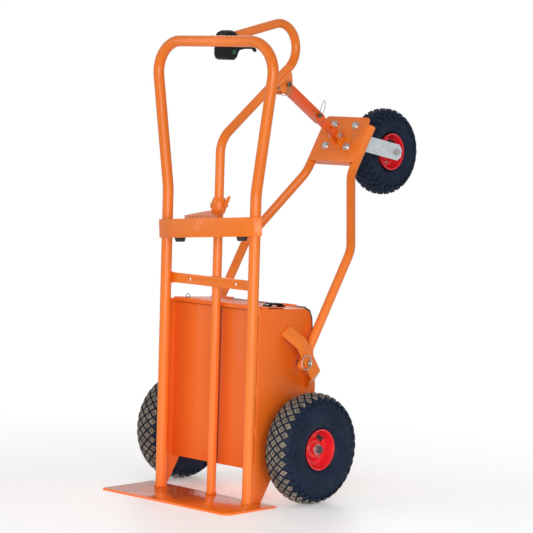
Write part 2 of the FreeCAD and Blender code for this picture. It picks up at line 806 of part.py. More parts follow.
def make_band():
    """The flat strap in front of the uprights, with bevelled ends and two tabs for the buffers."""
    outside = [(106.5, band_face_y), (151, band_face_y + 9), (180.5, band_face_y + 18), (194, band_face_y + 34)]
    inside = [(106, band_face_y + band_thickness), (150, band_face_y + 13), (178.5, band_face_y + 21.7),
              (190.8, band_face_y + 36.5)]
    right_half = outside + list(reversed(inside))
    left_half = [(-x, y) for x, y in reversed(right_half)]
    strap = prism([(x, y, 0) for x, y in right_half + left_half], Vector(0, 0, band_height))
    strap.translate(Vector(0, 0, -band_height / 2))
    low = -band_height / 2
    for side in (-1, 1):
        near = side * buffer_x - 16
        far = side * buffer_x + 16
        strap = strap.fuse(block((near, band_face_y + 3, low), (far, buffer_y + 16, low + tab_thickness)))
        strap = strap.cut(centred_cylinder((side * buffer_x, buffer_y, low), Z_AXIS, buffer_stem_radius, 30))
    return on_band(strap.removeSplitter())


def make_collar_body():
    """The clamp's turned outline about the centre tube, before its hole."""
    outline = [(0, -22), (14.5, -22), (19.5, -12), (20.5, 8), (15.5, 22), (0, 22)]
    face = Part.Face(Part.makePolygon([Vector(r, 0, z) for r, z in outline + outline[:1]]))
    body = face.revolve(ORIGIN, Z_AXIS, 360)
    body.translate(Vector(0, spine_y, collar_z))
    return body


def make_band_arms():
    """The slotted plate that rises from the strap's top edge to the collar."""
    thickness = 3.0
    reach = spine_y + 6 - band_face_y - band_thickness
    outline = [(-64, 0), (45, 0), (18, reach), (-18, reach), (-98, 34)]
    plate = prism([(x, y, 0) for x, y in outline], Vector(0, 0, thickness))
    for slot in range(5):
        x = -50 + 16 * slot
        plate = plate.cut(block((x - 5.5, 17, -1), (x + 5.5, 23, thickness + 1)))
    plate.rotate(ORIGIN, X_AXIS, arm_slope)
    lean = thickness * math.sin(math.radians(arm_slope))
    plate.translate(Vector(0, band_face_y + band_thickness + lean, band_height / 2 - 8))
    tube = centred_cylinder((0, spine_y, band_centre_z), Z_AXIS, spine_diameter / 2 + loose_gap, 300)
    return on_band(plate).cut(tube).cut(make_collar_body()).removeSplitter()


def make_band_collar():
    """The clamp block round the centre tube, with a small eye on its left."""
    eye = block((-27, spine_y - 6, collar_z - 9), (-14, spine_y + 6, collar_z + 5))
    eye = eye.cut(centred_cylinder((-22.5, spine_y, collar_z - 2), Y_AXIS, 3.0, 40))
    collar = make_collar_body().fuse(eye)
    tube = centred_cylinder((0, spine_y, collar_z), Z_AXIS, spine_diameter / 2 + loose_gap, 200)
    screw_hole = Part.makeCylinder(3 + running_gap, 40, Vector(10, spine_y, collar_z + 2), X_AXIS)
    return collar.cut(tube).cut(screw_hole).removeSplitter()


def make_wing_bolt():
    """The clamp screw with its wing, on the collar's right."""
    start = Vector(spine_diameter / 2 + 1, spine_y, collar_z + 2)
    screw = Part.makeCylinder(3, 10, start, X_AXIS)
    hub = Part.makeCylinder(6, 8, start + Vector(8, 0, 0), X_AXIS)
    outline = [(10, 0), (15, 0), (24, 12), (29, 26), (20, 24), (11, 12)]
    wing = prism([(start.x + out, spine_y - 2, start.z + rise) for out, rise in outline], Vector(0, 4, 0))
    return screw.fuse(hub).fuse(wing).removeSplitter()


def make_band_buffers():
    """Two rubber buffers that hang from the band's tabs."""
    buffers = []
    low = -band_height / 2
    for side in (-1, 1):
        foot = Vector(side * buffer_x, buffer_y, low - 12)
        cone = Part.makeCone(12, 16, 12, foot, Z_AXIS)
        stem = Part.makeCylinder(buffer_stem_radius, 20, foot, Z_AXIS)
        buffers.append(on_band(cone.fuse(stem).removeSplitter()))
    return group(buffers)


# ---------------------------------------------------------------- hand control
control_y = 42.0


def grip_height(y):
    """The grip bar's centre height at a given distance back."""
    end = grip_end()
    return end.z + (y - end.y) * math.tan(math.radians(grip_slope))


def grip_rod(radius):
    start = grip_end()
    end = curl_points()[2]
    return Part.makeCylinder(radius, (end - start).Length, start, end - start)


def make_control_housing():
    """The domed switch housing that is clamped round the grip bar."""
    centre = grip_height(control_y)
    outline = [(17, -44), (22, -54), (32, -58), (52, -58), (63, -49), (69, -34), (69, -12), (64, 3),
               (57, 14), (48, 21), (37, 21), (26, 14), (19, 3), (17, -12)]
    half = 21.0
    body = prism([(-half, y, centre + z) for y, z in outline], Vector(2 * half, 0, 0))
    dome = centred_cylinder((0, control_y, centre - 6), Y_AXIS, 30, 80)
    body = body.common(dome.fuse(block((-40, 0, centre - 80), (40, 80, centre))))
    pin_y, pin_z = lever_pivot()
    body = body.cut(block((-4.5, pin_y - 8, pin_z - 21), (4.5, pin_y + 40, pin_z + 12)))
    body = body.cut(centred_cylinder((0, pin_y, pin_z), X_AXIS, 2, 24))
    return body.cut(grip_rod(spine_diameter / 2))


def lever_pivot():
    return control_y + 16, grip_height(control_y) - 28


def make_control_lever():
    """The finger lever, with a deep root and a hooked tip, under the grip bar."""
    y, z = lever_pivot()
    outline = [(-5, -5), (2, -12), (12, -18), (20, -15), (32, -3), (50, 1), (84, 2), (93, -6), (98, -3),
               (91, 8), (82, 8), (30, 6), (-5, 5)]
    lever = prism([(-3.5, y + dy, z + dz) for dy, dz in outline], Vector(7, 0, 0))
    hole = centred_cylinder((0, y, z), X_AXIS, 2 + running_gap, 20)
    return lever.cut(hole)


def make_lever_pin():
    y, z = lever_pivot()
    return centred_cylinder((0, y, z), X_AXIS, 2, 24)


def make_control_lamp():
    """The small ring lamp on the housing's right face."""
    start = Vector(21, control_y + 8, grip_height(control_y) - 37)
    ring = Part.makeCylinder(5.5, 1.5, start, X_AXIS)
    return ring.cut(Part.makeCylinder(3.2, 1.5, start, X_AXIS))


# ---------------------------------------------------------------- write every sub-part
paired = {
    "upright": make_right_upright,
    "side_panel": make_right_side_panel,
    "drive_shaft": make_right_shaft,
    "tyre": make_right_tyre,
    "rim": make_right_rim,
    "rim_bolts": make_right_rim_bolts,
    "axle_nut": make_right_axle_nut,
    "a_frame_leg": make_right_leg,
    "leg_bracket": make_right_leg_bracket,
    "lynch_pin": make_right_lynch_pin,
}

single = {
    "toe_plate": make_toe_plate,
    "centre_tube": make_centre_tube,
    "rear_grip": make_rear_grip,
    "crossbar": make_crossbar,
    "stay_bracket": make_stay_bracket,
    "front_panel": make_front_panel,
    "rear_cover": make_rear_cover,
    "bottom_plate": make_bottom_plate,
    "lid": make_lid,
    "lid_hinge_pin": make_lid_hinge_pin,
    "lid_hinge_knuckles": make_lid_hinge_knuckles,
    "lid_handle": make_lid_handle,
    "battery_pack": make_batteries,
    "controller": make_controller,
    "gear_motor": make_gear_motor,
    "shaft_bearings": make_shaft_bearings,
    "caster_plate": make_caster_plate,
    "stay_lug": make_stay_lug,
    "lug_bolt": make_lug_bolt,
    "caster_bolts": make_caster_bolts,
    "caster_top_plate": make_caster_top_plate,
    "caster_kingpin": make_kingpin,
    "caster_fork": make_caster_fork,
    "caster_axle": make_caster_axle,
    "caster_tyre": make_caster_tyre,
    "caster_rim": make_caster_rim,
    "caster_rim_bolts": make_caster_rim_bolts,
    "stay_outer_tube": make_stay_outer,
    "stay_inner_tube": make_stay_inner,
    "stay_top_pin": make_stay_top_pin,
    "stay_lock_pin": make_stay_lock_pin,
    "height_band": make_band,
    "band_arms": make_band_arms,
    "band_collar": make_band_collar,
    "wing_bolt": make_wing_bolt,
    "band_buffers": make_band_buffers,
    "control_housing": make_control_housing,
    "control_lever": make_control_lever,
    "lever_pin": make_lever_pin,
    "control_lamp": make_control_lamp,
}

for name, make in single.items():
    save(name, make())

for name, make in paired.items():
    right = make()
    save("right_" + name, right)
    save("left_" + name, mirrored(right))
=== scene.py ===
"""The looks of the convertible hand truck: painted tube frame, detailed tyres, rims, welds and wires."""

import json
import math
import random

import bmesh
import bpy
from mathutils import Matrix, Vector


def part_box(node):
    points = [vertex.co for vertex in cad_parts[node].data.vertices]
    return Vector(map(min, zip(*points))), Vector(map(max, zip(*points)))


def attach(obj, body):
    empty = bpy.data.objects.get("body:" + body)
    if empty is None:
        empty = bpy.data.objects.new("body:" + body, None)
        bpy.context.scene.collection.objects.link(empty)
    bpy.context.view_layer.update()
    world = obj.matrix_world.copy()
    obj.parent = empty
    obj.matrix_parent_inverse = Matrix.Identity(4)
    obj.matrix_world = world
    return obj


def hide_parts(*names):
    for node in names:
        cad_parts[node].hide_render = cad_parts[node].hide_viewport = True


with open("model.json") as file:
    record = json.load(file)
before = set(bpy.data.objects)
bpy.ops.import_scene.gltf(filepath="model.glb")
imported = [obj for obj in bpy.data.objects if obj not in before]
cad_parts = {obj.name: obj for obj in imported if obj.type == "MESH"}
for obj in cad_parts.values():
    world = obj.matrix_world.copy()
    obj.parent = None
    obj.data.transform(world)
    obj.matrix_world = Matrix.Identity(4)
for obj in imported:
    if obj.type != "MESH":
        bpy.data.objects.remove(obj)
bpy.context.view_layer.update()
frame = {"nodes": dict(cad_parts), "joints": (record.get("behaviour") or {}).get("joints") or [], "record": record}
nodes = frame["nodes"]
joints = {joint["name"]: joint for joint in frame["joints"]}

MM = 0.001
SIDES = (("right", 1), ("left", -1))
X_AXIS = Vector((1, 0, 0))
Y_AXIS = Vector((0, 1, 0))
Z_AXIS = Vector((0, 0, 1))


def joint_place(name):
    return Vector(joints[name]["pos_m"])


def joint_axis(name):
    return Vector(joints[name]["axis"]).normalized()


# ---------------------------------------------------------------- camera, floor and light
VIEW_AZIMUTH = math.radians(44.53)
VIEW_ELEVATION = math.radians(4.77)
VIEW_ROLL = math.radians(1.6)
VIEW_DISTANCE = 6.127
VIEW_TARGET = Vector((0, 0.1, 0.6))
AIM_RIGHT = 0.085
AIM_UP = 0.021
LENS_MM = 152.2


def make_camera():
    """The camera stands in front, to the right, with a long lens and a slight roll."""
    a, e = VIEW_AZIMUTH, VIEW_ELEVATION
    back = Vector((math.sin(a) * math.cos(e), -math.cos(a) * math.cos(e), math.sin(e)))
    level = Vector((math.cos(a), math.sin(a), 0))
    above = back.cross(level)
    right = level * math.cos(VIEW_ROLL) + above * math.sin(VIEW_ROLL)
    up = above * math.cos(VIEW_ROLL) - level * math.sin(VIEW_ROLL)
    place = VIEW_TARGET + back * VIEW_DISTANCE
    aim = VIEW_TARGET + right * AIM_RIGHT + up * AIM_UP
    back = (place - aim).normalized()
    up = (up - back * up.dot(back)).normalized()
    right = up.cross(back)
    camera = bpy.data.objects.new("camera", bpy.data.cameras.new("camera"))
    bpy.context.scene.collection.objects.link(camera)
    turn = Matrix((right, up, back)).transposed().to_4x4()
    camera.matrix_world = Matrix.Translation(place) @ turn
    camera.data.lens = LENS_MM
    bpy.context.scene.camera = camera


def add_area_light(name, place, width, height, power):
    """An upright soft box that looks at the middle of the truck."""
    light = bpy.data.lights.new(name, "AREA")
    light.shape = "RECTANGLE"
    light.size = width
    light.size_y = height
    light.energy = power
    lamp = bpy.data.objects.new(name, light)
    lamp.location = place
    lamp.rotation_euler = (VIEW_TARGET - Vector(place)).to_track_quat("-Z", "Y").to_euler()
    bpy.context.scene.collection.objects.link(lamp)


SKY_ON_OBJECTS = 0.46
SKY_BEHIND = 1.0
GLOSS_SHARE = 0.36


def make_world():
    """A white studio: softer as light on the truck than as background and reflection."""
    world = bpy.data.worlds.new("studio")
    world.use_nodes = True
    tree = world.node_tree
    soft = tree.nodes["Background"]
    soft.inputs["Color"].default_value = (1.0, 1.0, 1.0, 1)
    soft.inputs["Strength"].default_value = SKY_ON_OBJECTS
    white = tree.nodes.new("ShaderNodeBackground")
    white.inputs["Color"].default_value = (1.0, 1.0, 1.0, 1)
    white.inputs["Strength"].default_value = SKY_BEHIND
    seen = tree.nodes.new("ShaderNodeLightPath")
    gloss = tree.nodes.new("ShaderNodeMath")
    gloss.operation = "MULTIPLY"
    gloss.inputs[1].default_value = GLOSS_SHARE
    direct = tree.nodes.new("ShaderNodeMath")
    direct.operation = "MAXIMUM"
    chosen = tree.nodes.new("ShaderNodeMixShader")
    tree.links.new(seen.outputs["Is Camera Ray"], direct.inputs[0])
    tree.links.new(seen.outputs["Is Glossy Ray"], gloss.inputs[0])
    tree.links.new(gloss.outputs["Value"], direct.inputs[1])
    tree.links.new(direct.outputs["Value"], chosen.inputs[0])
    tree.links.new(soft.outputs["Background"], chosen.inputs[1])
    tree.links.new(white.outputs["Background"], chosen.inputs[2])
    tree.links.new(chosen.outputs["Shader"], tree.nodes["World Output"].inputs["Surface"])
    bpy.context.scene.world = world
    bpy.context.scene.view_settings.view_transform = "Standard"


# name, place, width, height, power: soft boxes for the shading, narrow strips for the gleam on the tubes
LIGHTS = (
    ("key", (-2.0, -3.6, 2.8), 2.2, 2.2, 22),
    ("front", (3.0, -4.2, 1.1), 2.2, 2.4, 95),
    ("side", (4.1, -1.9, 0.9), 1.6, 2.0, 50),
    ("back", (-2.4, 3.2, 2.2), 2.0, 2.0, 22),
    ("left_strip", (-2.6, -2.4, 1.3), 0.22, 2.4, 6),
    ("right_strip", (2.9, -2.9, 1.5), 0.18, 2.6, 5),
)


def make_lights():
    for light in LIGHTS:
        add_area_light(*light)


FLOOR_HALF = 4
FLOOR_FADE_START = 0.55
FLOOR_FADE_END = 1.5


def make_floor():
    """A pale floor that fades into the white background away from the truck."""
    bm = bmesh.new()
    bmesh.ops.create_grid(bm, x_segments=8, y_segments=8, size=FLOOR_HALF)
    mesh = bpy.data.meshes.new("floor")
    bm.to_mesh(mesh)
    bm.free()
    floor = bpy.data.objects.new("floor", mesh)
    bpy.context.scene.collection.objects.link(floor)
    mesh.materials.append(plain_floor())


# ---------------------------------------------------------------- material helpers
class Recipe:
    """A Principled material with short ways to add noise, bump and mixing."""

    def __init__(self, name, roughness=0.5, metallic=0.0, **fixed):
        self.material = bpy.data.materials.new(name)
        self.material.use_nodes = True
        self.tree = self.material.node_tree
        self.shader = self.tree.nodes["Principled BSDF"]
        self.shader.inputs["Roughness"].default_value = roughness
        self.shader.inputs["Metallic"].default_value = metallic
        for socket, value in fixed.items():
            self.shader.inputs[socket.replace("_", " ")].default_value = value
        self.place = self.tree.nodes.new("ShaderNodeTexCoord").outputs["Object"]

    def link(self, source, target):
        self.tree.links.new(source, target)

    def noise(self, scale, detail=3.0, stretch=(1, 1, 1)):
        mapping = self.tree.nodes.new("ShaderNodeMapping")
        mapping.inputs["Scale"].default_value = stretch
        noise = self.tree.nodes.new("ShaderNodeTexNoise")
        noise.inputs["Scale"].default_value = scale
        noise.inputs["Detail"].default_value = detail
        self.link(self.place, mapping.inputs["Vector"])
        self.link(mapping.outputs["Vector"], noise.inputs["Vector"])
        return noise.outputs["Fac"]

    def cells(self, scale):
        cells = self.tree.nodes.new("ShaderNodeTexVoronoi")
        cells.inputs["Scale"].default_value = scale
        self.link(self.place, cells.inputs["Vector"])
        return cells.outputs["Color"]

    def ramp(self, source, stops):
        """Map 0..1 to colours; stops is a list of (position, (r, g, b))."""
        ramp = self.tree.nodes.new("ShaderNodeValToRGB")
        ramp.color_ramp.elements[0].position = stops[0][0]
        ramp.color_ramp.elements[0].color = (*stops[0][1], 1)
        ramp.color_ramp.elements[1].position = stops[1][0]
        ramp.color_ramp.elements[1].color = (*stops[1][1], 1)
        for position, colour in stops[2:]:
            ramp.color_ramp.elements.new(position).color = (*colour, 1)
        self.link(source, ramp.inputs["Fac"])
        return ramp.outputs["Color"]

    def two_tone(self, scale, detail, dark, pale):
        """A noise that drifts between two colours."""
        return self.ramp(self.noise(scale, detail), [(0.3, dark), (0.7, pale)])

    def spread(self, source, low, high, start=0.3, end=0.7):
        """Map a 0..1 source to the range low..high."""
        spread = self.tree.nodes.new("ShaderNodeMapRange")
        spread.inputs["From Min"].default_value = start
        spread.inputs["From Max"].default_value = end
        spread.inputs["To Min"].default_value = low
        spread.inputs["To Max"].default_value = high
        self.link(source, spread.inputs["Value"])
        return spread.outputs["Result"]

    def mix(self, amount, first, second):
        mix = self.tree.nodes.new("ShaderNodeMix")
        mix.data_type = "RGBA"
        self.link(amount, mix.inputs["Factor"])
        self.link(first, mix.inputs["A"])
        if isinstance(second, tuple):
            mix.inputs["B"].default_value = (*second, 1)
        else:
            self.link(second, mix.inputs["B"])
        return mix.outputs["Result"]

    def edges(self, low, high):
        """White on sharp convex edges, black elsewhere."""
        geometry = self.tree.nodes.new("ShaderNodeNewGeometry")
        return self.spread(geometry.outputs["Pointiness"], 0.0, 1.0, low, high)

    def colour(self, source):
        self.link(source, self.shader.inputs["Base Color"])

    def rough(self, source):
        self.link(source, self.shader.inputs["Roughness"])

    def bump(self, source, strength, distance):
        bump = self.tree.nodes.new("ShaderNodeBump")
        bump.inputs["Strength"].default_value = strength
        bump.inputs["Distance"].default_value = distance
        self.link(source, bump.inputs["Height"])
        if self.shader.inputs["Normal"].links:
            self.link(self.shader.inputs["Normal"].links[0].from_socket, bump.inputs["Normal"])
        self.link(bump.outputs["Normal"], self.shader.inputs["Normal"])


# ---------------------------------------------------------------- materials
def plain_floor():
    recipe = Recipe("floor", roughness=0.5, Emission_Color=(1, 1, 1, 1), Emission_Strength=0.24)
    recipe.colour(recipe.two_tone(1.2, 3.0, (0.93, 0.93, 0.93), (0.95, 0.95, 0.95)))
    distance = recipe.tree.nodes.new("ShaderNodeVectorMath")
    distance.operation = "LENGTH"
    recipe.link(recipe.place, distance.inputs[0])
    fade = recipe.spread(distance.outputs["Value"], 1.0, 0.0, FLOOR_FADE_START, FLOOR_FADE_END)
    recipe.link(fade, recipe.shader.inputs["Alpha"])
    return recipe.material


def powder_coat(name, deep, bright, roughness=0.30, coat=0.15, texture=1.0):
    """Glossy powder coat: slight tone drift, orange-peel texture, scuffs and paler sharp edges."""
    recipe = Recipe(name, roughness, Specular_IOR_Level=0.35, Coat_Weight=coat, Coat_Roughness=0.05)
    tone = recipe.ramp(recipe.noise(4.0), [(0.35, deep), (0.65, bright)])
    scuffs = recipe.spread(recipe.noise(26.0, 8.0, (1, 1, 0.35)), 0.0, 0.07, 0.62, 0.74)
    scuffed = recipe.mix(scuffs, tone, tuple(channel * 0.55 for channel in deep))
    # Sharp convex edges are lightened towards a paler tone of the paint.
    pale_edge_tone = tuple(min(1.0, channel * 1.15 + 0.03) for channel in bright)
    recipe.colour(recipe.mix(recipe.edges(0.53, 0.62), scuffed, pale_edge_tone))
    recipe.rough(recipe.spread(recipe.noise(38.0, 5.0), roughness - 0.05, roughness + 0.08))
    recipe.bump(recipe.noise(620.0, 2.0), 0.08 * texture, 0.0004)
    recipe.bump(recipe.noise(22.0, 2.0), 0.05 * texture, 0.002)
    return recipe.material


def tread_rubber():
    """Side rubber: blue-black, slightly mottled, with fine mould grain."""
    recipe = Recipe("tread_rubber", roughness=0.58, Specular_IOR_Level=0.20)
    tone = recipe.two_tone(18.0, 5.0, (0.0035, 0.0100, 0.0260), (0.0070, 0.0175, 0.0420))
    dusty = recipe.spread(recipe.noise(55.0, 9.0), 0.0, 0.12, 0.58, 0.75)
    recipe.colour(recipe.mix(dusty, tone, (0.09, 0.09, 0.10)))
    recipe.rough(recipe.spread(recipe.noise(30.0), 0.50, 0.72))
    recipe.bump(recipe.noise(900.0, 3.0), 0.20, 0.0003)
    return recipe.material


def dusty_tread():
    """The tops of the tread blocks, which have picked up pale floor dust."""
    recipe = Recipe("dusty_tread", roughness=0.85)
    dust = recipe.noise(95.0, 8.0)
    recipe.colour(recipe.ramp(dust, [(0.26, (0.04, 0.038, 0.036)), (0.50, (0.17, 0.140, 0.108)),
                                     (0.78, (0.34, 0.29, 0.23))]))
    recipe.bump(recipe.noise(700.0, 4.0), 0.30, 0.0004)
    return recipe.material


def red_enamel():
    recipe = Recipe("red_enamel", roughness=0.24, Specular_IOR_Level=0.35,
                    Coat_Weight=0.35, Coat_Roughness=0.06)
    recipe.colour(recipe.two_tone(24.0, 4.0, (0.70, 0.010, 0.016), (0.82, 0.018, 0.024)))
    recipe.rough(recipe.spread(recipe.noise(60.0, 4.0), 0.18, 0.32))
    recipe.bump(recipe.noise(400.0, 2.0), 0.10, 0.0004)
    return recipe.material


def galvanised():
    """Hot-dip galvanised steel with soft spangle and white bloom."""
    recipe = Recipe("galvanised", roughness=0.42, metallic=0.55)
    spangle = recipe.ramp(recipe.cells(130.0), [(0.0, (0.60, 0.66, 0.71)), (1.0, (0.78, 0.83, 0.87))])
    bloom = recipe.spread(recipe.noise(30.0, 6.0), 0.0, 0.55, 0.45, 0.75)
    recipe.colour(recipe.mix(bloom, spangle, (0.82, 0.87, 0.91)))
    recipe.rough(recipe.spread(recipe.noise(70.0, 5.0), 0.34, 0.58))
    recipe.bump(recipe.noise(180.0, 4.0), 0.12, 0.0005)
    return recipe.material


def zinc_plate():
    recipe = Recipe("zinc_plate", roughness=0.28, metallic=0.9)
    recipe.colour(recipe.two_tone(110.0, 5.0, (0.42, 0.42, 0.41), (0.62, 0.61, 0.59)))
    recipe.rough(recipe.spread(recipe.noise(240.0, 4.0), 0.20, 0.42))
    recipe.bump(recipe.noise(500.0, 3.0), 0.08, 0.0003)
    return recipe.material


def yellow_zinc():
    """Passivated spring wire: brass-tinted steel."""
    recipe = Recipe("yellow_zinc", roughness=0.30, metallic=0.85)
    recipe.colour(recipe.two_tone(140.0, 4.0, (0.26, 0.20, 0.12), (0.48, 0.40, 0.26)))
    recipe.rough(recipe.spread(recipe.noise(200.0), 0.22, 0.42))
    return recipe.material


def dark_steel():
    recipe = Recipe("dark_steel", roughness=0.40, metallic=0.8)
    recipe.colour(recipe.two_tone(120.0, 5.0, (0.06, 0.06, 0.065), (0.15, 0.145, 0.14)))
    recipe.rough(recipe.spread(recipe.noise(150.0, 4.0), 0.30, 0.55))
    recipe.bump(recipe.noise(420.0, 3.0), 0.10, 0.0003)
    return recipe.material


def black_plastic():
    """Glass-filled moulded plastic with a fine spark texture."""
    recipe = Recipe("black_plastic", roughness=0.42, Specular_IOR_Level=0.18)
    recipe.colour(recipe.two_tone(40.0, 4.0, (0.004, 0.005, 0.007), (0.009, 0.010, 0.013)))
    recipe.rough(recipe.spread(recipe.noise(90.0, 4.0), 0.36, 0.56))
    recipe.bump(recipe.noise(1400.0, 2.0), 0.22, 0.0002)
    return recipe.material


def black_rubber():
    recipe = Recipe("black_rubber", roughness=0.72)
    recipe.colour(recipe.two_tone(60.0, 5.0, (0.016, 0.016, 0.018), (0.040, 0.040, 0.044)))
    recipe.bump(recipe.noise(800.0, 3.0), 0.20, 0.0003)
    return recipe.material


def cast_metal():
    recipe = Recipe("cast_metal", roughness=0.5, metallic=0.8)
    recipe.colour(recipe.two_tone(60.0, 5.0, (0.40, 0.41, 0.42), (0.60, 0.61, 0.62)))
    recipe.bump(recipe.noise(420.0, 4.0), 0.30, 0.0006)
    return recipe.material


def battery_case():
    recipe = Recipe("battery_case", roughness=0.35)
    recipe.colour(recipe.two_tone(30.0, 3.0, (0.020, 0.024, 0.032), (0.045, 0.050, 0.062)))
    recipe.bump(recipe.noise(700.0, 2.0), 0.12, 0.0003)
    return recipe.material


def green_lamp():
    recipe = Recipe("green_lamp", roughness=0.2, Coat_Weight=0.5)
    recipe.colour(recipe.two_tone(300.0, 3.0, (0.01, 0.16, 0.04), (0.03, 0.26, 0.08)))
    return recipe.material


PAINT = powder_coat("frame_paint", (0.76, 0.158, 0.006), (0.82, 0.180, 0.008))
PANEL_PAINT = powder_coat("panel_paint", (0.75, 0.126, 0.003), (0.81, 0.142, 0.004), 0.44, 0.06)
STAY_PAINT = powder_coat("stay_paint", (0.78, 0.090, 0.008), (0.84, 0.110, 0.012), 0.32)
# A brighter copy of the frame paint for the toe plate: painted light on its weakly lit top.
LIT_PLATE_PAINT = powder_coat("plate_paint_lit", (0.88, 0.150, 0.004), (0.93, 0.168, 0.006), 0.18, 0.28, 0.15)
TYRE = tread_rubber()
DUST = dusty_tread()
RED = red_enamel()
GALVANISED = galvanised()
ZINC = zinc_plate()
WIRE = yellow_zinc()
STEEL = dark_steel()
PLASTIC = black_plastic()
RUBBER = black_rubber()
CAST = cast_metal()
BATTERY = battery_case()
LAMP = green_lamp()

SLOT_MATERIAL = {
    "frame_paint": PAINT,
    "panel_paint": PANEL_PAINT,
    "stay_paint": STAY_PAINT,
    "galvanised": GALVANISED,
    "zinc": ZINC,
    "dark_steel": STEEL,
    "tyre_rubber": TYRE,
    "rim_paint": RED,
    "black_plastic": PLASTIC,
    "black_rubber": RUBBER,
    "battery_case": BATTERY,
    "cast_casing": CAST,
    "lamp_green": LAMP,
}
node_slot = {row["node"]: row["material_slot"] for row in frame["record"]["subparts"]}
bodies = frame["record"]["behaviour"]["bodies"]
node_body = {node: body for body, members in bodies.items() for node in members}


# ---------------------------------------------------------------- mesh helpers
SMOOTH_ANGLE = math.radians(32)
BEVEL_ANGLE = math.radians(28)
FLAT_ANGLE = math.radians(1)
WELD_DISTANCE = 0.01 * MM


def add_piece(name, bm, materials, body):
    """Turn a bmesh into a smooth-shaded piece that rides on a body."""
    bmesh.ops.recalc_face_normals(bm, faces=bm.faces)
    mesh = bpy.data.meshes.new(name)
    bm.to_mesh(mesh)
    bm.free()
    mesh.shade_smooth()
    mesh.set_sharp_from_angle(angle=SMOOTH_ANGLE)
    for material in materials:
        mesh.materials.append(material)
    piece = bpy.data.objects.new(name, mesh)
    bpy.context.scene.collection.objects.link(piece)
    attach(piece, body)
    return piece


def frame_across(axis):
    """Two directions square to an axis."""
    helper = Z_AXIS if abs(axis.dot(Z_AXIS)) < 0.9 else Y_AXIS
    first = axis.cross(helper).normalized()
    return first, axis.cross(first)


def add_lathe(bm, centre, axis, profile, steps=96, material=0):
    """Revolve a closed (along, radius) outline about an axis through centre."""
    first, second = frame_across(axis)
    rings = []
    for step in range(steps):
        angle = 2 * math.pi * step / steps
        out = first * math.cos(angle) + second * math.sin(angle)
        rings.append([bm.verts.new(centre + axis * along + out * radius) for along, radius in profile])
    count = len(profile)
    for step in range(steps):
        ring, following = rings[step], rings[(step + 1) % steps]
        for index in range(count):
            after = (index + 1) % count
            face = bm.faces.new((ring[index], ring[after], following[after], following[index]))
            face.material_index = material


def add_tube(bm, points, radius_at, sides=12, closed=False):
    """A round skin along points; radius_at gives the radius at each point's index."""
    count = len(points)
    rings = []
    across = None
    for index, point in enumerate(points):
        before = points[index - 1] if index or closed else points[0]
        after = points[(index + 1) % count] if index < count - 1 or closed else points[-1]
        along = (after - before).normalized()
        if across is None:
            across = frame_across(along)[0]
        across = (across - along * across.dot(along)).normalized()
        other = along.cross(across)
        radius = radius_at(index)
        ring = []
        for side in range(sides):
            angle = 2 * math.pi * side / sides
            ring.append(bm.verts.new(point + (across * math.cos(angle) + other * math.sin(angle)) * radius))
        rings.append(ring)
    for index in range(count if closed else count - 1):
        ring, following = rings[index], rings[(index + 1) % count]
        for side in range(sides):
            after = (side + 1) % sides
            bm.faces.new((ring[side], ring[after], following[after], following[side]))
    if not closed:
        bm.faces.new(rings[0])
        bm.faces.new(list(reversed(rings[-1])))


def softened(node, width, segments=2, material=None):
    """Stand a copy of a CAD node with rounded edges in the node's place."""
    bm = bmesh.new()
    bm.from_mesh(nodes[node].data)
    bmesh.ops.remove_doubles(bm, verts=bm.verts, dist=WELD_DISTANCE)
    bmesh.ops.dissolve_limit(bm, angle_limit=FLAT_ANGLE, verts=bm.verts, edges=bm.edges)
    sharp = [edge for edge in bm.edges
             if len(edge.link_faces) == 2 and edge.calc_face_angle(0) > BEVEL_ANGLE]
    bmesh.ops.bevel(bm, geom=sharp, offset=width, segments=segments, profile=0.5,
                    affect="EDGES", clamp_overlap=True)
    chosen = material or SLOT_MATERIAL[node_slot[node]]
    piece = add_piece(node + "_soft", bm, [chosen], node_body[node])
    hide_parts(node)
    return piece


def dress_cad_nodes():
    """Give every CAD node the procedural material of its slot."""
    for name, node in nodes.items():
        node.data.materials.clear()
        node.data.materials.append(SLOT_MATERIAL[node_slot[name]])


# ---------------------------------------------------------------- tyres
BLOCK_ROWS = 5
ROW_GAP = 13.6 * MM
BLOCK_HALF = 10.4 * MM
BLOCK_HEIGHT = 3.8 * MM
BLOCK_SINK = 1.2 * MM
BLOCK_BEVEL = 0.7 * MM
DIMPLE = 1.0 * MM
SHOULDER_HALF = 6.2 * MM
SHOULDER_HEIGHT = 4.4 * MM
SIDE_LUG_STEP = 11.5 * MM
SIDE_LUG_HALF = 4.0 * MM
SIDE_LUG_HEIGHT = 1.8 * MM
MARK_STEP = 30 * MM
MARK_HALF = 3.4 * MM
MARK_HEIGHT = 1.4 * MM
MARK_GROUPS = 3
MARKS_IN_GROUP = 5
MARK_HALF_TURN = 0.026
RIB_HEIGHT = 0.9 * MM
SIDE_RIBS = ((0.05, 0.035), (-0.62, 0.04))
SIDEWALL_SWEEP = (-62, 242)
SECTION_POWER = 0.80
DIAMOND = ((1, 0), (0, 1), (-1, 0), (0, -1))
SQUARE = ((1, 1), (-1, 1), (-1, -1), (1, -1))


